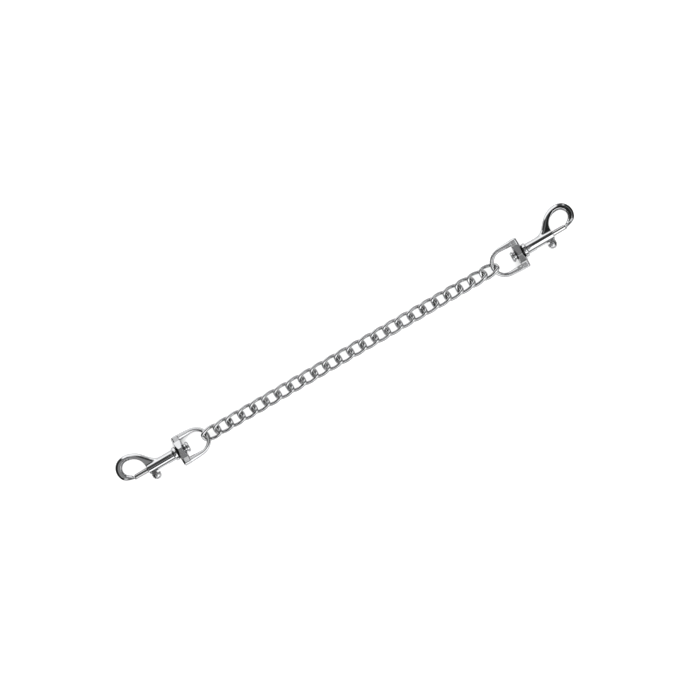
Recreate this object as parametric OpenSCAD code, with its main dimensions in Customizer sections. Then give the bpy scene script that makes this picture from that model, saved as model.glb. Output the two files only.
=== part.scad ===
// Curb chain for riding tack: a flat run of twisted links with a swivel bolt snap at each end.
// Lengths are millimetres and angles degrees.
// +X runs along the chain, +Y across it toward the side the hooks bulge to, and +Z up, square to
// the plane the chain lies flat in. The origin is the middle of the chain, on its centre line.
// Both snaps are one design: the left one is the right one turned half a turn about Y. Only the
// bows sit at their own angles, as swivels do.

/* [Chain links] */
// Outer length of a link
link_len = 17.4; // [17:0.1:18]
// Outer width of a link at its middle, before the twist
link_w = 12.3; // [12.1:0.1:12.8]
// Thickness of the link wire
wire_d = 3; // [2.6:0.1:3]
// Angle each end of a link is twisted out of the flat plane
link_twist = 45; // [43:1:47]
// Free gap between two linked wires
link_gap = 0.2; // [0.15:0.01:0.3]

/* [Swivel bow] */
// Angle the right bow is rolled about the chain
bow_roll_right = 12; // [11:1:20]
// Angle the left bow is rolled about the chain
bow_roll_left = 22; // [20:1:26]
// Thickness of the bow wire where the chain hangs, in the bow's plane
bow_wire = 3.6; // [3.2:0.1:3.6]
// Radius of the bow's centre line
bow_r = 10.8; // [10.6:0.1:11.2]
// Straight length of each bow leg
leg_len = 10.5; // [9.5:0.1:12]
// Outer width of the bow's base bar
base_w = 26.6; // [26:0.1:27]
// Depth of the base bar along the chain
base_t = 6.1; // [5.6:0.1:6.6]

/* [Snap body] */
// Outside diameter of the barrel
barrel_d = 8.8; // [8.6:0.1:9.2]
// Length of the barrel from collar to front face
barrel_len = 23.7; // [23:0.1:25]
// Outside diameter of the collar
collar_d = 11.2; // [10.8:0.1:12]
// Length of the collar
collar_len = 3.5; // [3.2:0.1:4]
// Width of the open gate between barrel and hook end
gate_len = 11.8; // [11.4:0.1:12]
// Radius of the round seat in the hook's nose
seat_r = 5.6; // [5.2:0.1:5.7]
// Thickness of the hook, square to its plane
hook_t = 6; // [5:0.1:6.4]

/* [Bolt and thumb stud] */
// Diameter of the sliding bolt
bolt_d = 4.4; // [4.2:0.1:4.6]
// Radial clearance between bolt and barrel bore
bolt_clear = 0.06; // [0.03:0.01:0.09]
// Diameter of the thumb stud's knob
knob_d = 7.4; // [7:0.1:7.8]

/* [Swivel post] */
// Diameter of the post's button head
head_d = 8.6; // [8:0.1:9]
// Diameter of the post's shaft
post_d = 5; // [4.8:0.1:5.2]
// Radial clearance between post and bow
post_clear = 0.05; // [0.02:0.01:0.09]

/* [Hidden] */
$fn = 48;

chrome_tone = [0.80, 0.81, 0.83];
steel_tone = [0.66, 0.67, 0.69];
eps = 0.01;

// chain
link_count = 24;
wire_r = wire_d / 2;
pitch = link_len - 2 * wire_d - link_gap;
half_len = link_len / 2 - wire_r;
half_w = link_w / 2 - wire_r;
squareness = 0.1;
link_steps = 32;
wire_sides = 10;
// how far the links next to each bow are rolled about the chain to meet it, outermost first
left_rolls = [14, 9, 5, 2];
right_rolls = [24, 19, 14, 10, 6, 3];

// stations along the chain, right-hand snap
last_link_x = (link_count - 1) / 2 * pitch;
bow_x = last_link_x + half_len - wire_r - link_gap - bow_wire / 2;
bow_cx = bow_x + bow_r;
base_x = bow_cx + leg_len;

// swivel bow
bow_wire_t = 3.4;
leg_root_w = 4.7;
leg_root_t = 4.6;
bar_t = 5;
bar_chamfer = 0.9;
octagon_cut = 0.28;
joint_lip = 0.05;
joint_lap = 1.5;
boss_in = 0.6;
boss_out = 0.1;
boss_half_w = 7.6;
boss_half_t = 5.6;
boss_flat = 3.2;
boss_neck = 1.8;

// snap body
swivel_gap = 0.12;
collar_x = base_x + base_t + boss_out + swivel_gap;
collar_round = 0.9;
barrel_x = collar_x + collar_len;
front_x = barrel_x + barrel_len;
front_chamfer = 0.3;
gate_x = front_x + gate_len;
seat_x = gate_x + 0.5;
seat_y = 8.6;
nose_x = gate_x + 0.8;
nose_y = 8.9;
nose_r = 10.9;
nose_start = -60;
shoulder_r = 19;
shoulder_y = nose_y + nose_r - shoulder_r;
shoulder_end = 139.3;
outline_step = 7.5;
rim_y = 3;
arm_low = -2.8;
arm_high = 1.65;
web_r = 10.3;
web_x = front_x + web_r + 0.1;
web_y = 3.7;
// bevel of the hook's rim: how far in, and at what share of the hook's thickness
rim_bevel = [[0, 0.2], [0.9, 0.72], [2.4, 1]];

// swivel post
shaft_r = post_d / 2;
neck_r = 3.3;
head_r = head_d / 2;
head_x = base_x - 4.5;
head_t = 2.2;
head_round = 0.6;
post_end_x = collar_x + 6.18;

// bolt, stud and spring
bolt_r = bolt_d / 2;
bore_r = bolt_r + bolt_clear;
bore_x = post_end_x + 0.1;
bolt_travel = 11.6;
bolt_tip_gap = 0.15;
bolt_tip_x = gate_x - bolt_tip_gap;
bolt_tail_x = front_x - 6;
tip_chamfer = 0.5;
blade_x = bolt_tail_x + 0.6;
blade_len = 4.6;
blade_t = 3;
blade_top = -1.9;
slot_clear = 0.1;
tenon_r = 1.1;
tenon_top = 1.9;
knob_x = front_x - 4.2;
knob_top = -5.7;
knob_h = 5.1;
spring_r = 1.85;
spring_wire_r = 0.2;
spring_coils = 6;
spring_gap = 0.05;
spring_steps = 12;
spring_sides = 6;

function unit(v) = v / norm(v);

// roll of link k about the chain
function link_roll(k) =
    k <= len(left_rolls) ? left_rolls[k - 1]
    : k > link_count - len(right_rolls) ? -right_rolls[link_count - k]
    : 0;

function link_x(k) = (k - (link_count + 1) / 2) * pitch;

// a point on a link's centre line: a rounded oval, turned more about X the further it is from
// the link's middle
function link_point(t) =
    let (
        x = half_len * (cos(t) - squareness * cos(3 * t)) / (1 - squareness),
        w = half_w * (sin(t) + squareness * sin(3 * t)) / (1 - squareness),
        turn = -link_twist * x / half_len
    )
    [x, w * cos(turn), w * sin(turn)];

// the direction square to the twisted oval at that point
function link_side(t) =
    let (turn = -link_twist * link_point(t)[0] / half_len)
    [0, -sin(turn), cos(turn)];

function link_ring(t, sides) =
    let (
        along = unit(link_point(t + 1) - link_point(t - 1)),
        side = unit(link_side(t) - (link_side(t) * along) * along),
        out = cross(side, along)
    )
    [for (j = [0:sides - 1])
        link_point(t) + wire_r * (cos(j * 360 / sides) * out + sin(j * 360 / sides) * side)];

// the two triangles between corners j and m of one ring and the next
function band(a, b, j, m) = [[a + j, b + j, b + m], [a + j, b + m, a + m]];

module chain_link(k) {
    points = [for (i = [0:link_steps - 1]) each link_ring(i * 360 / link_steps, wire_sides)];
    faces = [for (i = [0:link_steps - 1], j = [0:wire_sides - 1])
        each band(i * wire_sides, (i + 1) % link_steps * wire_sides, j, (j + 1) % wire_sides)];
    color(chrome_tone)
    translate([link_x(k), 0, 0])
    rotate([link_roll(k), 0, 0])
    polyhedron(points, faces, convexity = 4);
}

// turns a body of revolution about Z so that it runs along X
module along_x(x) {
    translate([x, 0, 0])
    rotate([90, 0, 90])
    children();
}

module on_left() {
    rotate([0, 180, 0])
    children();
}

// an eight-sided section, w across and t deep
module octagon(w, t) {
    cut = octagon_cut * min(w, t);
    a = w / 2;
    b = t / 2;
    polygon([
        [a, b - cut], [a - cut, b], [cut - a, b], [-a, b - cut],
        [-a, cut - b], [cut - a, -b], [a - cut, -b], [a, cut - b]
    ]);
}

module bow_leg(side) {
    root_y = base_w / 2 - leg_root_w / 2;
    hull() {
        translate([bow_cx, side * bow_r, 0])
        rotate([90, 0, 90])
        linear_extrude(eps)
        octagon(bow_wire + 2 * joint_lip, bow_wire_t + 2 * joint_lip);
        translate([base_x + 1, side * root_y, 0])
        rotate([90, 0, 90])
        linear_extrude(eps)
        octagon(leg_root_w, leg_root_t);
    }
}

// base bar with its corners cut in both views
module base_bar() {
    h = base_w / 2;
    c = bar_chamfer;
    z = bar_t / 2;
    intersection() {
        translate([base_x, 0, 0])
        linear_extrude(bar_t, center = true)
        polygon([
            [0, -h], [base_t - c, -h], [base_t, c - h],
            [base_t, h - c], [base_t - c, h], [0, h]
        ]);
        along_x(base_x - 1)
        linear_extrude(base_t + 2)
        polygon([
            [h + 1, z - c - 1], [h - c, z], [c - h, z], [-h - 1, z - c - 1],
            [-h - 1, c + 1 - z], [c - h, -z], [h - c, -z], [h + 1, c + 1 - z]
        ]);
    }
}

// faceted boss round the post hole: a six-sided prism whose ends slope toward its ridges
module boss() {
    from = base_x - boss_in;
    to = base_x + base_t + boss_out;
    middle = (from + to) / 2;
    intersection() {
        along_x(from)
        linear_extrude(to - from)
        polygon([
            [0, boss_half_t], [-boss_half_w, bar_t / 2], [-boss_half_w, -bar_t / 2],
            [0, -boss_half_t], [boss_half_w, -bar_t / 2], [boss_half_w, bar_t / 2]
        ]);
        rotate([90, 0, 0])
        linear_extrude(2 * boss_half_w + 2, center = true)
        polygon([
            [from, -boss_neck], [from, boss_neck],
            [middle - boss_flat / 2, boss_half_t + eps],
            [middle + boss_flat / 2, boss_half_t + eps],
            [to, boss_neck], [to, -boss_neck],
            [middle + boss_flat / 2, -boss_half_t - eps],
            [middle - boss_flat / 2, -boss_half_t - eps]
        ]);
    }
}

module swivel_bow(roll) {
    color(chrome_tone)
    rotate([roll, 0, 0])
    difference() {
        union() {
            translate([bow_cx, 0, 0])
            rotate([0, 0, 90 - joint_lap])
            rotate_extrude(angle = 180 + 2 * joint_lap, $fn = 96)
            translate([bow_r, 0])
            octagon(bow_wire, bow_wire_t);
            bow_leg(1);
            bow_leg(-1);
            base_bar();
            boss();
        }
        along_x(base_x - 2)
        cylinder(h = base_t + 4, r = shaft_r + post_clear);
    }
}

module swivel_post() {
    color(chrome_tone)
    along_x(head_x)
    rotate_extrude()
    polygon([
        [0, 0], [head_r - 2 * head_round, 0], [head_r - head_round / 3, head_round / 2],
        [head_r, head_round * 1.5], [head_r, head_t - head_round / 2],
        [head_r - head_round / 2, head_t], [neck_r, head_t],
        [neck_r, base_x - boss_in - swivel_gap - head_x],
        [shaft_r, base_x - boss_in - swivel_gap - head_x],
        [shaft_r, post_end_x - head_x], [0, post_end_x - head_x]
    ]);
}

// points of the hook's outer edge, drawn in by d all round
function hook_outline(d) = [
    for (a = [nose_start:outline_step:90])
        [nose_x + (nose_r - d) * cos(a), nose_y + (nose_r - d) * sin(a)],
    for (a = [90 + outline_step:outline_step:shoulder_end])
        [nose_x + (shoulder_r - d) * cos(a), shoulder_y + (shoulder_r - d) * sin(a)],
    [nose_x + (shoulder_r - d) * cos(shoulder_end),
     shoulder_y + (shoulder_r - d) * sin(shoulder_end)],
    rim_foot(d),
    [rim_foot(d)[0] + 1, -1],
    [gate_x - 1, arm_low + d / 2]
];

// where the drawn-in rim meets the barrel
function rim_foot(d) =
    let (
        x = nose_x + (shoulder_r - d) * cos(shoulder_end),
        y = shoulder_y + (shoulder_r - d) * sin(shoulder_end),
        run = (y - rim_y) / tan(shoulder_end - 90)
    )
    [x - run, rim_y];

module hook_blank() {
    hull()
    for (step = rim_bevel)
        linear_extrude(hook_t * step[1], center = true)
        polygon(hook_outline(step[0]));
}

// everything the hook leaves free: the round seat, the teardrop behind it and the gate
module hook_opening() {
    linear_extrude(hook_t + 6, center = true) {
        translate([seat_x, seat_y])
        circle(seat_r, $fn = 96);
        intersection() {
            translate([web_x, web_y])
            circle(web_r, $fn = 96);
            translate([front_x, arm_high])
            square([seat_x - front_x, 2 * web_r]);
        }
        polygon([
            [front_x, -2 * bolt_d], [gate_x, -2 * bolt_d], [gate_x, arm_high],
            [seat_x + seat_r * cos(-57), seat_y + seat_r * sin(-57)],
            [seat_x, seat_y], [front_x, web_y - 0.7]
        ]);
    }
}

module barrel_and_collar() {
    outer = collar_d / 2;
    inner = barrel_d / 2;
    full = collar_len + barrel_len;
    along_x(collar_x)
    rotate_extrude()
    polygon([
        [0, 0], [outer - collar_round, 0], [outer, collar_round],
        [outer, collar_len - 1.4 * collar_round], [outer - 0.6, collar_len - 0.5 * collar_round],
        [inner, collar_len + 0.3], [inner, full - front_chamfer],
        [inner - front_chamfer, full], [0, full]
    ]);
}

module hook_body() {
    color(chrome_tone)
    difference() {
        union() {
            barrel_and_collar();
            difference() {
                hook_blank();
                hook_opening();
            }
        }
        along_x(collar_x - 1)
        cylinder(h = bore_x - collar_x + 1, r = shaft_r);
        along_x(bore_x - eps)
        cylinder(h = front_x - bore_x + 1, r = bore_r);
        translate([blade_x - bolt_travel - slot_clear, -barrel_d, -blade_t / 2 - slot_clear])
        cube([bolt_travel + 9, barrel_d, blade_t + 2 * slot_clear]);
    }
}

module bolt() {
    len = bolt_tip_x - bolt_tail_x;
    color(steel_tone)
    difference() {
        along_x(bolt_tail_x)
        rotate_extrude()
        polygon([
            [0, 0], [bolt_r, 0], [bolt_r, len - tip_chamfer],
            [bolt_r - tip_chamfer, len], [0, len]
        ]);
        translate([blade_x, -bolt_d, -bolt_r])
        cube([blade_len, bolt_d + blade_top, bolt_d]);
        translate([blade_x + blade_len / 2, 0, 0])
        rotate([90, 0, 0])
        cylinder(h = 2 * bolt_d, r = tenon_r, center = true);
    }
}

module thumb_stud() {
    r = knob_d / 2;
    color(chrome_tone)
    union() {
        translate([blade_x, knob_top - 1, -blade_t / 2])
        cube([blade_len, blade_top - knob_top + 1, blade_t]);
        translate([blade_x + blade_len / 2, tenon_top, 0])
        rotate([90, 0, 0])
        cylinder(h = tenon_top - blade_top + 1, r = tenon_r);
        translate([knob_x, knob_top, 0])
        rotate([90, 0, 0])
        rotate_extrude()
        polygon([
            [0, 0], [0.82 * r, 0], [r, 0.2 * knob_h], [r, 0.45 * knob_h],
            [0.88 * r, 0.72 * knob_h], [0.6 * r, 0.93 * knob_h], [0.3 * r, knob_h], [0, knob_h]
        ]);
    }
}

function coil_point(a, from, rise) = [
    from + rise * a / 360,
    spring_r * cos(a),
    spring_r * sin(a)
];

module bolt_spring() {
    from = post_end_x + spring_gap + spring_wire_r;
    to = bolt_tail_x - spring_gap - spring_wire_r;
    rise = (to - from) / spring_coils;
    steps = spring_coils * spring_steps;
    points = [for (i = [0:steps]) let (
            a = i * 360 / spring_steps,
            along = unit(coil_point(a + 1, from, rise) - coil_point(a - 1, from, rise)),
            out = [0, cos(a), sin(a)],
            side = cross(along, out)
        )
        for (j = [0:spring_sides - 1])
            coil_point(a, from, rise) + spring_wire_r
                * (cos(j * 360 / spring_sides) * out + sin(j * 360 / spring_sides) * side)];
    faces = [
        [for (j = [0:spring_sides - 1]) j],
        for (i = [0:steps - 1], j = [0:spring_sides - 1])
            each band(i * spring_sides, (i + 1) * spring_sides, j, (j + 1) % spring_sides),
        [for (j = [spring_sides - 1:-1:0]) steps * spring_sides + j]
    ];
    color(steel_tone)
    polyhedron(points, faces, convexity = 8);
}

module link_01() {
    chain_link(1);
}

module link_02() {
    chain_link(2);
}

module link_03() {
    chain_link(3);
}

module link_04() {
    chain_link(4);
}

module link_05() {
    chain_link(5);
}

module link_06() {
    chain_link(6);
}

module link_07() {
    chain_link(7);
}

module link_08() {
    chain_link(8);
}

module link_09() {
    chain_link(9);
}

module link_10() {
    chain_link(10);
}

module link_11() {
    chain_link(11);
}

module link_12() {
    chain_link(12);
}

module link_13() {
    chain_link(13);
}

module link_14() {
    chain_link(14);
}

module link_15() {
    chain_link(15);
}

module link_16() {
    chain_link(16);
}

module link_17() {
    chain_link(17);
}

module link_18() {
    chain_link(18);
}

module link_19() {
    chain_link(19);
}

module link_20() {
    chain_link(20);
}

module link_21() {
    chain_link(21);
}

module link_22() {
    chain_link(22);
}

module link_23() {
    chain_link(23);
}

module link_24() {
    chain_link(24);
}

module swivel_bow_left() {
    on_left()
    swivel_bow(bow_roll_left);
}

module swivel_bow_right() {
    swivel_bow(bow_roll_right);
}

module hook_body_left() {
    on_left()
    hook_body();
}

module hook_body_right() {
    hook_body();
}

module swivel_post_left() {
    on_left()
    swivel_post();
}

module swivel_post_right() {
    swivel_post();
}

module bolt_left() {
    on_left()
    bolt();
}

module bolt_right() {
    bolt();
}

module thumb_stud_left() {
    on_left()
    thumb_stud();
}

module thumb_stud_right() {
    thumb_stud();
}

module bolt_spring_left() {
    on_left()
    bolt_spring();
}

module bolt_spring_right() {
    bolt_spring();
}

link_01();
link_02();
link_03();
link_04();
link_05();
link_06();
link_07();
link_08();
link_09();
link_10();
link_11();
link_12();
link_13();
link_14();
link_15();
link_16();
link_17();
link_18();
link_19();
link_20();
link_21();
link_22();
link_23();
link_24();
swivel_bow_left();
swivel_bow_right();
hook_body_left();
hook_body_right();
swivel_post_left();
swivel_post_right();
bolt_left();
bolt_right();
thumb_stud_left();
thumb_stud_right();
bolt_spring_left();
bolt_spring_right();
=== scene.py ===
import math

import bpy
import numpy as np
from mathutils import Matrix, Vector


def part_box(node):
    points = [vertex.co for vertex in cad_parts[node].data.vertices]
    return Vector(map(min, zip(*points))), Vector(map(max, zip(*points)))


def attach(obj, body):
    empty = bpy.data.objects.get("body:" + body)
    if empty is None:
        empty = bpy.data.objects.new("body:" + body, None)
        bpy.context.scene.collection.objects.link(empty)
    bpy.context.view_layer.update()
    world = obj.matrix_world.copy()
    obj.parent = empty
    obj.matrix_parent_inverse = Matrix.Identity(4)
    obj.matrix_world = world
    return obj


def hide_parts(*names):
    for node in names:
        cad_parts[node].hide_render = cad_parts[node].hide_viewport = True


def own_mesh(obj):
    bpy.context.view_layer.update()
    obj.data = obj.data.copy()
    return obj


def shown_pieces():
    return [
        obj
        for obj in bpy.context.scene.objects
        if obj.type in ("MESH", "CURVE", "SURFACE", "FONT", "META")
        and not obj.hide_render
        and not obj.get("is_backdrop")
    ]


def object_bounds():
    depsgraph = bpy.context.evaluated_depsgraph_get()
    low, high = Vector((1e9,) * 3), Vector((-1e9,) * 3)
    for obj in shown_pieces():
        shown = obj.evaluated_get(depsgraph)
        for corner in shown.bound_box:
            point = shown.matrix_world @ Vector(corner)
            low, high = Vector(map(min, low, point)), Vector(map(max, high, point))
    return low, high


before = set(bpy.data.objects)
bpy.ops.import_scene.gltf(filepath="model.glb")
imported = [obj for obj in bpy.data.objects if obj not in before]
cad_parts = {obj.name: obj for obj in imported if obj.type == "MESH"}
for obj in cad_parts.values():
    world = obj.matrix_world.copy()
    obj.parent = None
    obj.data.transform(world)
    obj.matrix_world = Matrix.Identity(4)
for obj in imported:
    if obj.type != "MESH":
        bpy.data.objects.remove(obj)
cad_lo, cad_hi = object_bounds()

# Lengths in the shape functions are millimetres in the right-hand half of the row frame.
# make_piece() makes them metres and gives the left-hand bow and snap half a turn about Y.
MM = 0.001
SIDES = {"right": 1, "left": -1}


def node_box(name):
    """A CAD node's corners in millimetres."""
    lo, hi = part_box(name)
    return np.array(lo) / MM, np.array(hi) / MM


# ---------------------------------------------------------------- measurements, mm
LINKS = 24
link_lo, link_hi = node_box("link_13")
PITCH = node_box("link_14")[0][0] - link_lo[0]
LINK_LEN = link_hi[0] - link_lo[0]
LINK_W = link_hi[1] - link_lo[1]
bow_lo, bow_hi = node_box("swivel_bow_right")
hook_lo, hook_hi = node_box("hook_body_right")
post_lo, post_hi = node_box("swivel_post_right")
bolt_lo, bolt_hi = node_box("bolt_right")
spring_lo, spring_hi = node_box("bolt_spring_right")

# chain link: a squarish oval of round wire, twisted about its length
WIRE_R = 1.5
HALF_LEN = LINK_LEN / 2 - WIRE_R
HALF_W = LINK_W / 2 - WIRE_R
TWIST = math.radians(45)
SQUARENESS = 0.1
# degrees about X by which the end links turn toward the bows, outermost first
LEFT_ROLLS = (14, 9, 5, 2)
RIGHT_ROLLS = (24, 19, 14, 10, 6, 3)

# swivel bow: a D of bar stock, a base bar and a six-sided boss in its middle
BOW_ROLL = {"right": math.radians(12), "left": math.radians(22)}
ROD_HALF_W, ROD_HALF_Z = 1.8, 1.7
BOW_R = 10.8
BOW_CX = bow_lo[0] + ROD_HALF_W + BOW_R
BASE_X = bow_hi[0] - 6.2
BAR_LEN = 6.1
BAR_HALF_Z = 2.5
BASE_HALF = 13.3
BOSS_HALF = 7.6
BOSS_TOP = 5.6
BOSS_FALL = 3.1
BOSS_END_Z, BOSS_END_RISE = 1.8, 3.8
BOSS_FLAT = 1.6
BORE_R = 2.55

# snap body: collar, barrel, and a hook whose nose, shoulder, seat and web are arcs
COLLAR_X = hook_lo[0]
BARREL_X = COLLAR_X + 3.5
FRONT_X = BARREL_X + 23.7
BARREL_R = 4.4
COLLAR_R = 5.6
COLLAR_HALF = 1.75
HOOK_Z = 3.0
RIM_Z = 2.15
GATE_X = FRONT_X + 11.8
NOSE = (GATE_X + 0.8, 8.9)
NOSE_R = 10.9
SHOULDER_R = 19.0
SHOULDER_Y = NOSE[1] + NOSE_R - SHOULDER_R
SHOULDER_END = math.radians(139.3)
SEAT = (GATE_X + 0.5, 8.6)
SEAT_R = 5.6
SEAT_END = math.radians(-57)
WEB = (FRONT_X + 10.4, 3.7)
WEB_R = 10.3
ARM_HIGH = 1.65
BOLT_BORE_R = 2.26
SLOT_HALF = 1.6

# what slides and turns in it
POST_R, POST_HEAD_R, POST_COLLAR_R = 2.5, 4.3, 3.3
BOLT_R = 2.2
SPRING_R, SPRING_WIRE_R, SPRING_TURNS = 1.85, 0.2, 6
KNOB_X = FRONT_X - 4.2
KNOB_R = 3.7
BLADE_X = bolt_lo[0] + 0.6
BLADE_HALF = 2.3


# ---------------------------------------------------------------- small maths helpers
def smooth_max(a, b, k):
    """The larger of a and b, rounded where they meet over a width k."""
    h = np.maximum(k - np.abs(a - b), 0) / k
    return np.maximum(a, b) + h * h * k * 0.25


def smooth_min(a, b, k):
    """The smaller of a and b, rounded where they meet over a width k."""
    return -smooth_max(-a, -b, k)


def ramp(x, a, b):
    """0 before a, 1 after b, smooth in between."""
    t = np.clip((x - a) / (b - a), 0, 1)
    return t * t * (3 - 2 * t)


def all_of(parts, k):
    """The inside of every part at once, edges rounded by k."""
    f = parts[0]
    for p in parts[1:]:
        f = smooth_max(f, p, k)
    return f


# ---------------------------------------------------------------- meshes from implicit shapes
SLAB = 16
NUDGES = 4
STEP = 0.2


def surface_net(shape, lo, hi, step=STEP):
    """Vertices and quads of the surface where shape(x, y, z) is 0.

    One vertex goes into each grid cell that the surface crosses, and is then moved onto it.
    """
    lo, hi = np.array(lo, float), np.array(hi, float)
    n = np.ceil((hi - lo) / step).astype(int) + 1
    ax = [lo[i] + step * np.arange(n[i]) for i in range(3)]
    f = np.empty(n, np.float32)
    for i in range(0, n[0], SLAB):
        xs = ax[0][i:i + SLAB]
        f[i:i + SLAB] = shape(xs[:, None, None], ax[1][None, :, None], ax[2][None, None, :])
    inside = f < 0
    cell = tuple(n - 1)
    hits, total = np.zeros(cell, np.int8), np.zeros(cell + (3,), np.float32)
    base = np.stack(np.meshgrid(*[a[:-1] for a in ax], indexing="ij"), -1).astype(np.float32)
    for axis in range(3):
        others = [o for o in range(3) if o != axis]
        for da in (0, 1):
            for db in (0, 1):
                at = [slice(0, -1)] * 3
                at[others[0]] = slice(da, da + cell[others[0]])
                at[others[1]] = slice(db, db + cell[others[1]])
                to = list(at)
                to[axis] = slice(1, None)
                f0, f1 = f[tuple(at)], f[tuple(to)]
                crossing = inside[tuple(at)] != inside[tuple(to)]
                with np.errstate(divide="ignore", invalid="ignore"):
                    t = np.where(crossing, f0 / (f0 - f1), 0)
                hits += crossing
                add = np.zeros(cell + (3,), np.float32)
                add[..., axis] = t * step
                add[..., others[0]] = da * step
                add[..., others[1]] = db * step
                total += (base + add) * crossing[..., None]
    used = hits > 0
    number = np.full(cell, -1, int)
    number[used] = np.arange(used.sum())
    points = (total[used] / hits[used][:, None]).astype(float)
    quads = []
    for axis in range(3):
        u, v = [(1, 2), (2, 0), (0, 1)][axis]
        here = [slice(1, -1)] * 3
        here[axis] = slice(0, -1)
        there = [slice(1, -1)] * 3
        there[axis] = slice(1, None)
        a, b = inside[tuple(here)], inside[tuple(there)]
        idx = np.argwhere(a != b)
        idx[:, u] += 1
        idx[:, v] += 1
        eu, ev = np.eye(3, dtype=int)[u], np.eye(3, dtype=int)[v]
        corners = [idx - eu - ev, idx - ev, idx, idx - eu]
        q = np.stack([number[tuple(c.T)] for c in corners], 1)
        out = a[a != b]
        q[~out] = q[~out][:, ::-1]
        quads.append(q)
    quads = np.concatenate(quads)
    h = step * 0.05
    for _ in range(NUDGES):
        value = shape(*points.T)
        grad = np.stack([
            (shape(*(points + h * e).T) - shape(*(points - h * e).T)) / (2 * h)
            for e in np.eye(3)
        ], 1)
        move = -(value / np.maximum((grad ** 2).sum(1), 0.05))[:, None] * grad
        length = np.linalg.norm(move, axis=1, keepdims=True)
        points += move * np.minimum(1, 0.5 * step / np.maximum(length, 1e-9))
    return points, quads


def turned(profile, sides=96):
    """A body of revolution about X from (x, r) points, closed where r is 0."""
    rings, quads = [], []
    for i, (x, r) in enumerate(profile):
        a = np.arange(sides) * 2 * math.pi / sides
        rings.append(np.stack([np.full(sides, x), r * np.cos(a), r * np.sin(a)], 1))
        if i:
            j = np.arange(sides)
            k = (j + 1) % sides
            lo, hi = (i - 1) * sides, i * sides
            quads.append(np.stack([lo + j, hi + j, hi + k, lo + k], 1)[:, ::-1])
    return np.concatenate(rings), np.concatenate(quads)


def tube(centre, side, radius, sides, closed):
    """A round wire along centre. side points square to the wire at each station."""
    n = len(centre)
    if closed:
        along = np.roll(centre, -1, 0) - np.roll(centre, 1, 0)
    else:
        along = np.gradient(centre, axis=0)
    along /= np.linalg.norm(along, axis=1, keepdims=True)
    side = side - (side * along).sum(1)[:, None] * along
    side /= np.linalg.norm(side, axis=1, keepdims=True)
    out = np.cross(side, along)
    a = np.arange(sides) * 2 * math.pi / sides
    radius = np.broadcast_to(radius, n)
    ring = np.cos(a)[None, :, None] * out[:, None] + np.sin(a)[None, :, None] * side[:, None]
    points = centre[:, None] + radius[:, None, None] * ring
    i = np.arange(n if closed else n - 1)[:, None]
    j = np.arange(sides)[None, :]
    i2, j2 = (i + 1) % n, (j + 1) % sides
    quads = np.stack(np.broadcast_arrays(
        i * sides + j, i2 * sides + j, i2 * sides + j2, i * sides + j2), -1).reshape(-1, 4)
    return points.reshape(-1, 3), quads


PLATING = {}


def make_piece(name, points, quads, body, slot, node, side=1, caps=()):
    """A smooth shaded mesh in the row frame that rides on body and stands for the CAD node."""
    points = np.array(points, float)
    if side < 0:
        points = points * (-1, 1, -1)
    faces = [tuple(int(v) for v in q) for q in quads] + [tuple(c) for c in caps]
    mesh = bpy.data.meshes.new(name)
    mesh.from_pydata((points * MM).tolist(), [], faces)
    mesh.update()
    mesh.polygons.foreach_set("use_smooth", [True] * len(mesh.polygons))
    mesh.materials.append(PLATING[slot])
    obj = bpy.data.objects.new(name, mesh)
    bpy.context.scene.collection.objects.link(obj)
    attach(obj, body)
    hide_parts(node)
    return obj


# ---------------------------------------------------------------- materials
# reach and bounds of the painted shade that ambient occlusion lays where neighbours shut the
# plating in, how much darker the colour gets in hollows, and the darkened tone
CREVICE = 2.0
SHUT_IN, OPEN = 0.32, 0.8
HOLLOW_DARKENING = 0.2
HOLLOW_AND_SHADE_TONE = (0.08, 0.078, 0.075)
PALE_PATCH = 0.93
GRAZING_TINT = 0.78
PATCH_SCALE, SPECK_SCALE = 260.0, 2600.0


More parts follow.
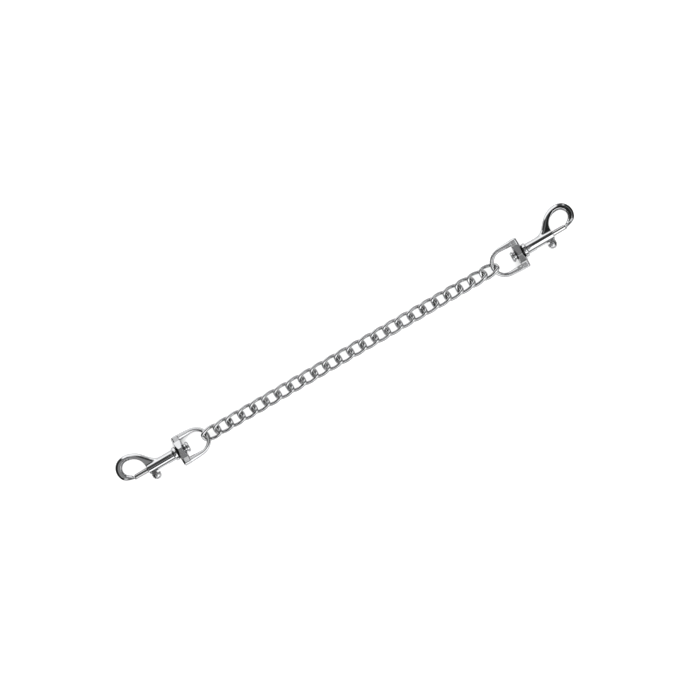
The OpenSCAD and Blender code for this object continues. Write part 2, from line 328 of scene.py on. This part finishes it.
def chrome(slot, tone, rough, swing, wave, wave_size, lines=None):
    """The bright plating of one material slot, kept in PLATING.

    Tone and roughness wander a little (by swing), the skin under the plating shows as a faint
    wave (height in mm, scale), the colour is darker in hollows and has painted shade where
    neighbours shut a place in, and hollows are rougher while edges are polished by handling.
    lines is (scale by direction, height in mm) of the marks that drawing or turning leaves.
    """
    mat = bpy.data.materials.new(slot)
    mat.use_nodes = True
    nodes, link = mat.node_tree.nodes, mat.node_tree.links.new
    nodes.clear()

    def add(kind, **values):
        node = nodes.new(kind)
        for key, value in values.items():
            if key in node.inputs:
                node.inputs[key].default_value = value
            else:
                setattr(node, key, value)
        return node

    def mapped(source, low, high, at_low, at_high):
        node = add("ShaderNodeMapRange")
        for i, value in enumerate((low, high, at_low, at_high)):
            node.inputs[i + 1].default_value = value
        link(source, node.inputs[0])
        return node.outputs[0]

    def scaled_sum(source, factor, base):
        node = add("ShaderNodeMath", operation="MULTIPLY_ADD")
        link(source, node.inputs[0])
        node.inputs[1].default_value = factor
        link(base, node.inputs[2])
        return node.outputs[0]

    out = add("ShaderNodeOutputMaterial")
    bsdf = add("ShaderNodeBsdfPrincipled", Metallic=1.0)
    bsdf.inputs["Specular Tint"].default_value = (GRAZING_TINT, GRAZING_TINT, GRAZING_TINT, 1)
    link(bsdf.outputs[0], out.inputs[0])
    place = add("ShaderNodeTexCoord").outputs["Object"]

    patches = add("ShaderNodeTexNoise", Scale=PATCH_SCALE, Detail=4.0, Roughness=0.55)
    specks = add("ShaderNodeTexNoise", Scale=SPECK_SCALE, Detail=3.0, Roughness=0.7)
    skin = add("ShaderNodeTexNoise", Scale=wave_size, Detail=2.0, Roughness=0.45)
    for tex in (patches, specks, skin):
        link(place, tex.inputs["Vector"])

    geometry = add("ShaderNodeNewGeometry")
    hollow = mapped(geometry.outputs["Pointiness"], 0.44, 0.5, 1.0, 0.0)
    edge = mapped(geometry.outputs["Pointiness"], 0.52, 0.6, 0.0, 1.0)

    shade = add("ShaderNodeMix", data_type="RGBA")
    shade.inputs["A"].default_value = (*[c * PALE_PATCH for c in tone], 1)
    shade.inputs["B"].default_value = (*tone, 1)
    link(patches.outputs["Fac"], shade.inputs["Factor"])
    # the colour is darkened in hollows, and gets painted shade where neighbours shut it in
    hollow_and_shade_mix = add("ShaderNodeMix", data_type="RGBA")
    hollow_and_shade_mix.inputs["B"].default_value = (*[c * f for c, f in zip(tone, HOLLOW_AND_SHADE_TONE)], 1)
    soft = add("ShaderNodeMath", operation="MULTIPLY")
    soft.inputs[1].default_value = HOLLOW_DARKENING
    link(hollow, soft.inputs[0])
    # painted shade: ambient occlusion darkens the colour where other surfaces are close, as where
    # links cross
    near = add("ShaderNodeAmbientOcclusion", Distance=CREVICE * MM, samples=8)
    painted_shade = mapped(near.outputs["AO"], SHUT_IN, OPEN, 1.0, 0.0)
    deeper = add("ShaderNodeMath", operation="MAXIMUM")
    link(soft.outputs[0], deeper.inputs[0])
    link(painted_shade, deeper.inputs[1])
    link(deeper.outputs[0], hollow_and_shade_mix.inputs["Factor"])
    link(shade.outputs["Result"], hollow_and_shade_mix.inputs["A"])
    link(hollow_and_shade_mix.outputs["Result"], bsdf.inputs["Base Color"])

    uneven = mapped(patches.outputs["Fac"], 0.3, 0.7, rough, rough + swing)
    dusty = scaled_sum(specks.outputs["Fac"], swing * 0.5, uneven)
    filmed = scaled_sum(hollow, 0.12, dusty)
    polished = scaled_sum(edge, -0.5 * rough, filmed)
    link(polished, bsdf.inputs["Roughness"])

    bump = add("ShaderNodeBump", Strength=1.0, Distance=wave * MM)
    link(skin.outputs["Fac"], bump.inputs["Height"])
    last = bump
    if lines:
        stretch, strength = lines
        mapping = add("ShaderNodeMapping")
        mapping.inputs["Scale"].default_value = stretch
        link(place, mapping.inputs["Vector"])
        marks = add("ShaderNodeTexNoise", Scale=1.0, Detail=5.0, Roughness=0.75)
        link(mapping.outputs[0], marks.inputs["Vector"])
        fine = add("ShaderNodeBump", Strength=1.0, Distance=strength * MM)
        link(marks.outputs["Fac"], fine.inputs["Height"])
        link(bump.outputs[0], fine.inputs["Normal"])
        last = fine
    link(last.outputs[0], bsdf.inputs["Normal"])
    PLATING[slot] = mat


chrome("link_chrome", (0.66, 0.665, 0.675), rough=0.045, swing=0.06,
       wave=0.004, wave_size=420.0, lines=((500, 4000, 4000), 0.0012))
chrome("bow_chrome", (0.6, 0.605, 0.615), rough=0.13, swing=0.05,
       wave=0.008, wave_size=300.0)
chrome("body_chrome", (0.61, 0.615, 0.625), rough=0.035, swing=0.04,
       wave=0.008, wave_size=260.0)
chrome("post_chrome", (0.63, 0.635, 0.645), rough=0.08, swing=0.08,
       wave=0.006, wave_size=400.0, lines=((9000, 300, 300), 0.0015))
chrome("stud_chrome", (0.6, 0.605, 0.615), rough=0.16, swing=0.10,
       wave=0.012, wave_size=500.0)
chrome("bolt_steel", (0.62, 0.62, 0.625), rough=0.07, swing=0.06,
       wave=0.003, wave_size=300.0, lines=((300, 5000, 5000), 0.002))
chrome("spring_steel", (0.42, 0.42, 0.43), rough=0.2, swing=0.12,
       wave=0.002, wave_size=900.0, lines=((5000, 800, 800), 0.002))


# ---------------------------------------------------------------- chain links
rng = np.random.default_rng(24)


def rolled(points, angle):
    """points turned about X."""
    c, s = math.cos(angle), math.sin(angle)
    x, y, z = points.T
    return np.stack([x, c * y - s * z, s * y + c * z], 1)


def link_line(t):
    """The twisted oval and the direction square to it at parameter t."""
    x = HALF_LEN * (np.cos(t) - SQUARENESS * np.cos(3 * t)) / (1 - SQUARENESS)
    w = HALF_W * (np.sin(t) + SQUARENESS * np.sin(3 * t)) / (1 - SQUARENESS)
    turn = -TWIST * x / HALF_LEN
    line = np.stack([x, w * np.cos(turn), w * np.sin(turn)], 1)
    side = np.stack([np.zeros_like(x), -np.sin(turn), np.cos(turn)], 1)
    return line, side


STATIONS = 112
WIRE_SIDES = 28
SEAM_STATIONS = (-0.05, -0.022, -0.012, -0.006, 0, 0.006, 0.012, 0.022, 0.05)
SEAM_CLEAR = 0.055
SEAM_DEPTH, SEAM_WIDTH = 0.12, 0.009
SEAM_SWELL, SWELL_AT, SWELL_WIDTH = 0.02, 0.03, 0.02
BENT_BY = 0.02
UNEVEN_WIRE = 0.006
ROLL_PLAY = 1.6
SIDE_PLAY = 0.05


def from_seam(t, seam):
    """How far round the link t is from the seam, either way."""
    return np.abs((t - seam + math.pi) % (2 * math.pi) - math.pi)


def link_mesh(index):
    """One link. The wire's cut ends butt together half way along one side, as a fine seam."""
    seam = math.radians(270 if index % 2 else 90) + rng.uniform(-0.12, 0.12)
    t = np.linspace(0, 2 * math.pi, STATIONS, endpoint=False)
    t = t[from_seam(t, seam) > SEAM_CLEAR]
    t = np.sort(np.concatenate([t, (seam + np.array(SEAM_STATIONS)) % (2 * math.pi)]))
    line, side = link_line(t)
    line[:, 1] += BENT_BY * np.sin(2 * t + rng.uniform(0, 6))
    off = from_seam(t, seam)
    groove = SEAM_DEPTH * np.exp(-(off / SEAM_WIDTH) ** 2)
    swell = SEAM_SWELL * np.exp(-((off - SWELL_AT) / SWELL_WIDTH) ** 2)
    thick = 1 + UNEVEN_WIRE * np.sin(3 * t + rng.uniform(0, 6))
    points, quads = tube(line, side, WIRE_R * thick - groove + swell, WIRE_SIDES, True)
    roll = 0
    if index <= len(LEFT_ROLLS):
        roll = LEFT_ROLLS[index - 1]
    elif index > LINKS - len(RIGHT_ROLLS):
        roll = -RIGHT_ROLLS[LINKS - index]
    points = rolled(points, math.radians(roll + rng.uniform(-ROLL_PLAY, ROLL_PLAY)))
    points[:, 0] += (index - (LINKS + 1) / 2) * PITCH
    points[:, 1] += rng.uniform(-SIDE_PLAY, SIDE_PLAY)
    return points, quads


for i in range(1, LINKS + 1):
    points, quads = link_mesh(i)
    link_name = f"link_{i:02d}"
    make_piece(f"twisted_{link_name}", points, quads, link_name, "link_chrome", link_name)


# ---------------------------------------------------------------- swivel bow
ROD_CUT = 0.56
ROD_GROWS_W, ROD_GROWS_Z = 0.55, 0.6


def rod_section(u, z, a, b, k):
    """An eight-sided bar 2a by 2b with its edges softened by k."""
    cut = ROD_CUT * np.minimum(a, b)
    corner = (np.abs(u) + np.abs(z) - (a + b - cut)) / math.sqrt(2)
    return all_of([np.abs(u) - a, np.abs(z) - b, corner], k)


def bow_shape(x, y, z):
    """The D, which thickens toward its base, the base bar with bevelled ends, and the boss."""
    ay, az = np.abs(y), np.abs(z)
    share = ramp(x, BOW_CX - 6, BASE_X)
    arc = np.hypot(x - BOW_CX, y) - BOW_R
    leg = ay - (BOW_R + 0.15 * share)
    u = np.where(x < BOW_CX, arc, leg)
    rod = rod_section(u, z, ROD_HALF_W + ROD_GROWS_W * share, ROD_HALF_Z + ROD_GROWS_Z * share,
                      0.45 - 0.25 * share)
    rod = smooth_max(rod, x - (BASE_X + 0.5), 0.1)

    rear, end, top = x - BASE_X - BAR_LEN, ay - BASE_HALF, az - BAR_HALF_Z
    bar = all_of([
        end, top, rear, BASE_X - x + 0 * y + 0 * z,
        (rear + end + 0.9) / math.sqrt(2),
        (rear + top + 1.3) / math.sqrt(2),
        (end + top + 0.9) / math.sqrt(2),
    ], 0.25)

    start, stop = BASE_X - 0.6, BASE_X + BAR_LEN + 0.1
    slope = math.hypot(BOSS_HALF, BOSS_FALL)
    run = (stop - start) / 2 - BOSS_FLAT
    rise = math.hypot(run, BOSS_END_RISE)
    boss = all_of([
        ay - BOSS_HALF,
        (BOSS_HALF * (az - BOSS_TOP) + BOSS_FALL * ay) / slope,
        start - x + 0 * y, x - stop + 0 * y,
        (run * (az - BOSS_END_Z) - BOSS_END_RISE * (x - start)) / rise,
        (run * (az - BOSS_END_Z) - BOSS_END_RISE * (stop - x)) / rise,
    ], 0.22)

    solid = smooth_min(smooth_min(rod, bar, 0.3), boss, 0.25)
    bore = np.minimum(BORE_R - np.hypot(y, z), x - BASE_X + 2)
    return smooth_max(solid, bore, 0.1)


points, quads = surface_net(bow_shape, (BOW_CX - BOW_R - 2.4, -14, -6.2),
                            (bow_hi[0] + 0.6, 14, 6.2))
for name, side in SIDES.items():
    make_piece(f"d_bow_{name}", rolled(points, BOW_ROLL[name]), quads, f"bow_{name}", "bow_chrome",
               f"swivel_bow_{name}", side)


# ---------------------------------------------------------------- snap body
def rounded_profile(corners, r, n=6):
    """(x, r) corners with each inner corner rounded by the radius r."""
    out = [corners[0]]
    for before, at, after in zip(corners, corners[1:], corners[2:]):
        p, q, s = np.array(before), np.array(at), np.array(after)
        a, b = p - q, s - q
        la, lb = np.linalg.norm(a), np.linalg.norm(b)
        a, b = a / la, b / lb
        half = math.acos(float(np.clip(a @ b, -1, 1))) / 2
        cut = min(r / max(math.tan(half), 1e-6), 0.45 * la, 0.45 * lb)
        for i in range(n + 1):
            t = i / n
            curve = (1 - t) ** 2 * (q + cut * a) + 2 * t * (1 - t) * q + t * t * (q + cut * b)
            out.append(tuple(curve))
    out.append(corners[-1])
    return out


def outer_edge(x, y):
    """Distance in from the hook's outer edge: nose, shoulder, straight flank, low side."""
    dx, dy = x - NOSE[0], y - SHOULDER_Y
    nose = NOSE_R - np.hypot(dx, y - NOSE[1])
    shoulder = SHOULDER_R - np.hypot(dx, dy)
    c, s = math.cos(SHOULDER_END), math.sin(SHOULDER_END)
    flank = SHOULDER_R - (dx * c + dy * s)
    beyond = (dx * s - dy * c) < 0
    left = np.where(beyond, flank, shoulder)
    edge = np.where(dx > 0, nose, left)
    low = (y + 2.8) * 0.957 - (x - GATE_X + 1) * 0.29
    return smooth_min(edge, low, 3.0)


def opening(x, y):
    """Distance out from the space inside the loop, and from the gate cut below it."""
    seat = np.hypot(x - SEAT[0], y - SEAT[1]) - SEAT_R
    web = np.hypot(x - WEB[0], y - WEB[1]) - WEB_R
    web = smooth_max(smooth_max(web, ARM_HIGH - y, 0.6), x - SEAT[0] - 0.5, 0.6)
    gate = all_of([FRONT_X - 0.01 - x + 0 * y, x - GATE_X + 0 * y, y - 4.0], 0.1)
    # the point's upper side runs straight from the gate to the seat
    point = (GATE_X, ARM_HIGH)
    tip = (SEAT[0] + SEAT_R * math.cos(SEAT_END), SEAT[1] + SEAT_R * math.sin(SEAT_END))
    nx, ny = tip[1] - point[1], -(tip[0] - point[0])
    size = math.hypot(nx, ny)
    arm = ((x - point[0]) * nx + (y - point[1]) * ny) / size
    wedge = all_of([
        arm, SEAT[0] - 6 - x + 0 * y, x - SEAT[0] - 2.5 + 0 * y, y - SEAT[1] + 0 * x,
    ], 0.4)
    return smooth_min(smooth_min(seat, web, 1.2), wedge, 0.8), gate


FOOT_TOP, FOOT_R = 3.7, 5.0
RIM_WIDE, RIM_VARIES = 2.5, 0.6
RIM_FOOT_Z, RIM_FOOT_RISE = 0.7, 0.55
RIM_LEAN, RIM_LEAN_FALL = 1.75, 0.75
STEEP_WIDE = 0.9
INNER_BEVEL, INNER_BEVEL_GROWS = 0.25, 1.25
INNER_LEAN, INNER_LENGTH = 0.85, 1.31
CROWN = 0.0012


def hook_blade(x, y, z):
    """The flat hook with its bevelled rims, and the gate's cut."""
    az = np.abs(z)
    d = outer_edge(x, y)
    # the shoulder's foot runs into the barrel's top line in a hollow curve
    foot = np.minimum(FOOT_TOP - y, np.minimum(x - BARREL_X - 5, FRONT_X - 4 - x))
    d = smooth_max(d, foot, FOOT_R)
    free, gate = opening(x, y)
    toward_nose = ramp(x, NOSE[0] - 2, NOSE[0] + 8)
    at_shoulder = 1 - ramp(x, FRONT_X - 6, FRONT_X + 6)
    wide = RIM_WIDE + RIM_VARIES * at_shoulder - RIM_VARIES * toward_nose
    # the rim: a steep outer bevel, a shallow inner one, then a crisp step onto the flat face
    lean = RIM_LEAN - RIM_LEAN_FALL * toward_nose
    steep = (az - RIM_FOOT_Z - RIM_FOOT_RISE * toward_nose - lean * d) / np.sqrt(1 + lean ** 2)
    slope = (HOOK_Z - RIM_Z) / (wide - STEEP_WIDE)
    shallow = (az - RIM_Z - slope * (d - STEEP_WIDE)) / np.sqrt(1 + slope ** 2)
    rim = smooth_max(smooth_max(steep, -d, 0.8), shallow, 0.9)
    bevel = INNER_BEVEL + INNER_BEVEL_GROWS * ramp(x, FRONT_X + 4, NOSE[0] - 3)
    inner = (az - (HOOK_Z - INNER_LEAN * bevel) - INNER_LEAN * free) / INNER_LENGTH
    inner = smooth_max(inner, -free, 0.25 + 0.35 * bevel)
    # the flat faces are very slightly crowned
    face = az - HOOK_Z + CROWN * (x - NOSE[0] + 6) ** 2
    blade = smooth_max(smooth_max(rim, inner, 0.12), face, 0.10)
    blade = smooth_max(blade, BARREL_X + 2 - x + 0 * y, 0.2)
    below = -y - 0.5 - 100 * ramp(x, FRONT_X, FRONT_X + 1) + 0 * z
    return smooth_max(blade, below, 0.2), gate


def hook_stock(x, r):
    """The barrel and the round collar at its back, by the distance r from the axis."""
    barrel = smooth_max(r - BARREL_R, x - FRONT_X, 0.5)
    barrel = smooth_max(barrel, COLLAR_X - x, 0.2)
    ring_x = x - (COLLAR_X + 1.7)
    oval = (ring_x / COLLAR_HALF) ** 4 + np.maximum(r / COLLAR_R, 0) ** 8
    collar = (np.sqrt(oval + 1e-9) - 1) * 1.4
    collar = smooth_max(collar, COLLAR_X - x, 0.4)
    return smooth_min(barrel, collar, 0.7)


def hook_shape(x, y, z):
    """The casting, less the gate, the bolt's bore, the stud's slot and the post's hole."""
    r = np.hypot(y, z)
    blade, gate = hook_blade(x, y, z)
    solid = smooth_min(hook_stock(x, r), blade, 0.7)
    solid = smooth_max(solid, -gate, 0.2)
    bore = smooth_max(r - BOLT_BORE_R, FRONT_X - 20.9 - x, 0.1)
    bore = smooth_max(bore, x - FRONT_X - 1, 0.1)
    solid = smooth_max(solid, -bore, 0.15)
    slot = all_of([
        np.abs(z) - SLOT_HALF, y + 0.0 * z, FRONT_X - 17.1 - x, x - FRONT_X - 1 + 0 * y,
    ], 0.2)
    solid = smooth_max(solid, -slot, 0.15)
    post = smooth_max(r - POST_R, x - (post_hi[0] + 0.05), 0.05)
    return smooth_max(solid, -post, 0.05)


points, quads = surface_net(hook_shape, (COLLAR_X - 0.8, -6.4, -6.4),
                            (hook_hi[0] + 0.8, hook_hi[1] + 0.8, 6.4))
for name, side in SIDES.items():
    make_piece(f"snap_casting_{name}", points, quads, f"snap_{name}", "body_chrome",
               f"hook_body_{name}", side)


# ---------------------------------------------------------------- post, bolt, stud and spring
head_x, boss_x = post_lo[0], BASE_X - 0.72
post_profile = rounded_profile([
    (head_x, 0), (head_x, 3.5), (head_x + 0.7, POST_HEAD_R), (head_x + 1.7, POST_HEAD_R),
    (head_x + 2.2, 3.95), (head_x + 2.2, POST_COLLAR_R), (boss_x, POST_COLLAR_R),
    (boss_x, POST_R), (post_hi[0], POST_R), (post_hi[0], 0),
], 0.22)
for name, side in SIDES.items():
    points, quads = turned(post_profile)
    make_piece(f"post_turned_{name}", points, quads, f"snap_{name}", "post_chrome",
               f"swivel_post_{name}", side)

tip_x = bolt_hi[0]
bolt_profile = rounded_profile([
    (bolt_lo[0], 0), (bolt_lo[0], BOLT_R), (tip_x - 0.5, BOLT_R), (tip_x, BOLT_R - 0.5), (tip_x, 0),
], 0.15)
for name, side in SIDES.items():
    points, quads = turned(bolt_profile)
    make_piece(f"bolt_rod_{name}", points, quads, f"plunger_{name}", "bolt_steel",
               f"bolt_{name}", side)


def stud_shape(x, y, z):
    """Blade in the barrel's slot, rounded knob outside and round tenon in the bolt."""
    from_blade = x - BLADE_X - BLADE_HALF
    stem = all_of([np.abs(from_blade) - BLADE_HALF, np.abs(z) - 1.5, -y - 7.5, y + 1.9], 0.5)
    r = np.hypot(x - KNOB_X, z)
    fall = np.maximum(-7.1 - y, 0) / KNOB_R
    head = (((r / KNOB_R) ** 2.3 + fall ** 2.3 + 1e-9) ** (1 / 2.3) - 1) * 3.6
    head = smooth_max(head, y + 5.7, 0.45)
    tenon = all_of([np.hypot(from_blade, z) - 1.1, y - 1.9, -y - 3], 0.1)
    return smooth_min(smooth_min(stem, head, 0.7), tenon, 0.1)


points, quads = surface_net(stud_shape, (KNOB_X - 4.6, -11.6, -4.6), (FRONT_X + 0.6, 2.6, 4.6))
for name, side in SIDES.items():
    make_piece(f"stud_knob_{name}", points, quads, f"plunger_{name}", "stud_chrome",
               f"thumb_stud_{name}", side)

COIL_STEPS, COIL_SIDES = 40, 12
turns = np.linspace(0, SPRING_TURNS, SPRING_TURNS * COIL_STEPS + 1)
coil_len = spring_hi[0] - spring_lo[0] - 2 * SPRING_WIRE_R
spring_line = np.stack([
    spring_lo[0] + SPRING_WIRE_R + coil_len * turns / SPRING_TURNS,
    SPRING_R * np.cos(2 * math.pi * turns), SPRING_R * np.sin(2 * math.pi * turns),
], 1)
spring_side = np.tile((1.0, 0.0, 0.0), (len(turns), 1))
points, quads = tube(spring_line, spring_side, SPRING_WIRE_R, COIL_SIDES, False)
ends = [list(range(COIL_SIDES))[::-1], list(range(len(points) - COIL_SIDES, len(points)))]
for name, side in SIDES.items():
    spring = make_piece(f"coil_spring_{name}", points, quads, f"snap_{name}", "spring_steel",
                        f"bolt_spring_{name}", side, ends)
    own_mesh(spring)


# ---------------------------------------------------------------- floor
FLOOR_GAP = 0.0001
FLOOR_HALF = 4
# what reflections see of the floor: pale under the object, dark beyond its two ends
REFLECTED = (0.214, 0.226, 0.56, 0.01)
FLOOR_TONE = (0.9, 0.9, 0.9, 1)

floor_z = cad_lo[2] - FLOOR_GAP
floor_mesh = bpy.data.meshes.new("floor")
floor_mesh.from_pydata([(x, y, floor_z) for x, y in (
    (-FLOOR_HALF, -FLOOR_HALF), (FLOOR_HALF, -FLOOR_HALF),
    (FLOOR_HALF, FLOOR_HALF), (-FLOOR_HALF, FLOOR_HALF))], [], [(0, 1, 2, 3)])
floor = bpy.data.objects.new("floor", floor_mesh)
bpy.context.scene.collection.objects.link(floor)
pale = bpy.data.materials.new("pale_floor")
pale.use_nodes = True
tree = pale.node_tree
matt = tree.nodes["Principled BSDF"]
matt.inputs["Roughness"].default_value = 0.9
path = tree.nodes.new("ShaderNodeLightPath")
shade = tree.nodes.new("ShaderNodeMix")
shade.data_type = "RGBA"
shade.inputs["A"].default_value = FLOOR_TONE
where = tree.nodes.new("ShaderNodeNewGeometry")
apart = tree.nodes.new("ShaderNodeSeparateXYZ")
reach = tree.nodes.new("ShaderNodeMath")
reach.operation = "ABSOLUTE"
fade = tree.nodes.new("ShaderNodeMapRange")
for slot, value in enumerate(REFLECTED):
    fade.inputs[slot + 1].default_value = value
# from below the floor is clear, so that the under side can be looked at
one_way = tree.nodes.new("ShaderNodeMixShader")
clear = tree.nodes.new("ShaderNodeBsdfTransparent")
for a, b in ((where.outputs["Position"], apart.inputs[0]), (apart.outputs["X"], reach.inputs[0]),
             (reach.outputs[0], fade.inputs[0]), (fade.outputs[0], shade.inputs["B"]),
             (path.outputs["Is Glossy Ray"], shade.inputs["Factor"]),
             (shade.outputs["Result"], matt.inputs["Base Color"]),
             (where.outputs["Backfacing"], one_way.inputs[0]),
             (matt.outputs[0], one_way.inputs[1]), (clear.outputs[0], one_way.inputs[2]),
             (one_way.outputs[0], tree.nodes["Material Output"].inputs["Surface"])):
    tree.links.new(a, b)
floor_mesh.materials.append(pale)
floor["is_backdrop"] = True

# where a joint swings the chain below its resting height, the floor drops to just under it
object_parts = bpy.data.collections.new("object_parts")
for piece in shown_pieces():
    object_parts.objects.link(piece)
level = bpy.data.node_groups.new("floor_level", "GeometryNodeTree")
for way in ("INPUT", "OUTPUT"):
    level.interface.new_socket("Geometry", in_out=way, socket_type="NodeSocketGeometry")
before = level.nodes.new("NodeGroupInput")
after = level.nodes.new("NodeGroupOutput")
parts = level.nodes.new("GeometryNodeCollectionInfo")
parts.inputs["Collection"].default_value = object_parts
parts.transform_space = "RELATIVE"
whole = level.nodes.new("GeometryNodeRealizeInstances")
extent = level.nodes.new("GeometryNodeBoundBox")
lowest = level.nodes.new("ShaderNodeSeparateXYZ")
drop = level.nodes.new("ShaderNodeMath")
drop.operation = "SUBTRACT"
drop.inputs[1].default_value = cad_lo[2]
only_down = level.nodes.new("ShaderNodeMath")
only_down.operation = "MINIMUM"
only_down.inputs[1].default_value = 0
shift = level.nodes.new("ShaderNodeCombineXYZ")
move = level.nodes.new("GeometryNodeTransform")
for a, b in ((before.outputs[0], move.inputs["Geometry"]), (parts.outputs[0], whole.inputs[0]),
             (whole.outputs[0], extent.inputs["Geometry"]),
             (extent.outputs["Min"], lowest.inputs[0]), (lowest.outputs["Z"], drop.inputs[0]),
             (drop.outputs[0], only_down.inputs[0]), (only_down.outputs[0], shift.inputs["Z"]),
             (shift.outputs[0], move.inputs["Translation"]), (move.outputs[0], after.inputs[0])):
    level.links.new(a, b)
floor.modifiers.new("level", "NODES").node_group = level


# ---------------------------------------------------------------- light, seen in reflections only
DOME_R = 0.6
DOME_ROWS, DOME_COLUMNS = 96, 192
DOME_FOOT = -3
# low screens round the room: azimuth, half width, tilt from overhead where it starts, brightness
SCREENS = [(-10, 33, 42, 0.92), (46, 12, 52, 0.12), (150, 32, 40, 0.04), (-157, 20, 42, 0.92)]
OVERHEAD, OVERHEAD_LEFT, OVERHEAD_RIGHT = 0.02, 0.06, 0.04
PANEL, WALL, NEAR_WALL, END_CARD = 0.34, 1.55, 0.08, 0.02
SOFTBOX, SOFTBOX_FALL = 2.2, 1.2


def studio_tone(tx, ty):
    """Brightness of the light tent, by tilt from overhead in degrees toward +X and +Y."""
    tilt = np.hypot(tx, ty)
    off_axis = np.degrees(np.arctan2(np.abs(ty), np.abs(tx)))
    left = ramp(-tx, -6, 10)
    # overhead: nearly black, with a grey panel over the left snap
    tone = (OVERHEAD + OVERHEAD_LEFT * left * ramp(ty, 0, 8)
            + OVERHEAD_RIGHT * ramp(ty, -2, 14) * (1 - left))
    panel = ramp(-tx, 8, 13) * ramp(ty, -9, -6) * ramp(-ty, -6, -4)
    tone = tone + (PANEL - tone) * panel
    # pale wall behind the hooks' side
    wall = ramp(tilt, 54, 64) * ramp(ty, 5, 30)
    tone = tone + (WALL - tone) * wall
    # nearly black wall on the other side
    near = ramp(tilt, 60, 66) * ramp(-ty, 5, 30)
    tone = tone + (NEAR_WALL - tone) * near
    # softbox over the lower half, its near edge slanting
    edge = 3 + 25 * ramp(-tx, 8, 15)
    box = (ramp(-ty, edge, edge + 7) * ramp(ty, -66, -60)
           * ramp(tx, -50, -40) * ramp(-tx, -50, -40))
    bright = SOFTBOX - SOFTBOX_FALL * ramp(-ty, 40, 58)
    tone = tone + (bright - tone) * box
    azimuth = np.degrees(np.arctan2(ty, tx))
    for centre, half, start, bright in SCREENS:
        off = np.abs((azimuth - centre + 180) % 360 - 180)
        screen = ramp(-off, -half - 5, -half + 5) * ramp(tilt, start, start + 8)
        tone = tone + (bright - tone) * screen
    # black cards beyond both ends
    card = ramp(tilt, 58, 66) * ramp(-off_axis, -34, -26)
    return tone + (END_CARD - tone) * card


tent_light = bpy.data.materials.new("tent_light")
tent_light.use_nodes = True
tent_light.cycles.emission_sampling = "NONE"
tree = tent_light.node_tree
tree.nodes.clear()
emit = tree.nodes.new("ShaderNodeEmission")
source = tree.nodes.new("ShaderNodeAttribute")
source.attribute_name = "glow"
end = tree.nodes.new("ShaderNodeOutputMaterial")
tree.links.new(source.outputs["Fac"], emit.inputs["Strength"])
tree.links.new(emit.outputs[0], end.inputs[0])


def glowing(name, points, faces, tones):
    """A sheet of the light tent: it glows in reflections and nowhere else."""
    mesh = bpy.data.meshes.new(name)
    mesh.from_pydata(points, [], faces)
    mesh.update()
    glow = mesh.attributes.new("glow", "FLOAT", "POINT")
    glow.data.foreach_set("value", tones)
    mesh.materials.append(tent_light)
    sheet = bpy.data.objects.new(name, mesh)
    bpy.context.scene.collection.objects.link(sheet)
    sheet.visible_camera = False
    sheet.visible_diffuse = False
    sheet.visible_shadow = False
    sheet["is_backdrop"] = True


el = np.linspace(DOME_FOOT, 90, DOME_ROWS) * math.pi / 180
az = np.arange(DOME_COLUMNS) * 2 * math.pi / DOME_COLUMNS
grid = np.stack([
    np.cos(el)[:, None] * np.cos(az), np.cos(el)[:, None] * np.sin(az),
    np.sin(el)[:, None] + 0 * az,
], -1).reshape(-1, 3)
i, j = np.meshgrid(np.arange(DOME_ROWS - 1), np.arange(DOME_COLUMNS), indexing="ij")
k = (j + 1) % DOME_COLUMNS
low, high = i * DOME_COLUMNS, (i + 1) * DOME_COLUMNS
cells = np.stack([low + j, high + j, high + k, low + k], -1).reshape(-1, 4)
tilt = np.degrees(np.arccos(np.clip(grid[:, 2], -1, 1)))
flat = np.maximum(np.hypot(grid[:, 0], grid[:, 1]), 1e-9)
tones = studio_tone(tilt * grid[:, 0] / flat, tilt * grid[:, 1] / flat)
glowing("light_tent", (grid * DOME_R).tolist(), cells.tolist(), tones.astype(np.float32))

# small reflectors close over the two bows: x, tilts toward +Y from and to, brightness
CARD_Z = 0.12
CARD_HALF = 0.024
CARDS = [(0.149, -36, 30, 0.33), (-0.149, 34, 66, 1.06), (-0.149, -14, 14, 0.33)]
for number, (x, low, high, bright) in enumerate(CARDS):
    x0, x1 = x - CARD_HALF, x + CARD_HALF
    y0, y1 = (CARD_Z * math.tan(math.radians(a)) for a in (low, high))
    corners = [(x0, y0, CARD_Z), (x1, y0, CARD_Z), (x1, y1, CARD_Z), (x0, y1, CARD_Z)]
    glowing(f"reflector_{number}", corners, [(0, 1, 2, 3)], [bright] * 4)

# ---------------------------------------------------------------- room light and camera
ROOM_LIGHT = 2.2
world = bpy.data.worlds.new("soft_room")
bpy.context.scene.world = world
world.use_nodes = True
world.node_tree.nodes["Background"].inputs[0].default_value = (1, 1, 1, 1)
world.node_tree.nodes["Background"].inputs[1].default_value = ROOM_LIGHT
world.cycles_visibility.glossy = False

bpy.context.scene.view_settings.view_transform = "Standard"

# straight above, with +X running up to the right; FIELD is the picture's width on the floor
ROLL = math.radians(30.23)
FIELD = 0.5504
DISTANCE = 3.0
AIM_RIGHT, AIM_UP = -0.0051, 0.0063
SENSOR = 36
right = np.array((math.cos(ROLL), -math.sin(ROLL), 0))
up = np.array((math.sin(ROLL), math.cos(ROLL), 0))
aim = AIM_RIGHT * right + AIM_UP * up
camera_data = bpy.data.cameras.new("camera")
camera_data.sensor_width = SENSOR
camera_data.lens = SENSOR * DISTANCE / FIELD
camera = bpy.data.objects.new("camera", camera_data)
bpy.context.scene.collection.objects.link(camera)
camera.location = (aim[0], aim[1], DISTANCE)
camera.rotation_euler = (0, 0, -ROLL)
bpy.context.scene.camera = camera
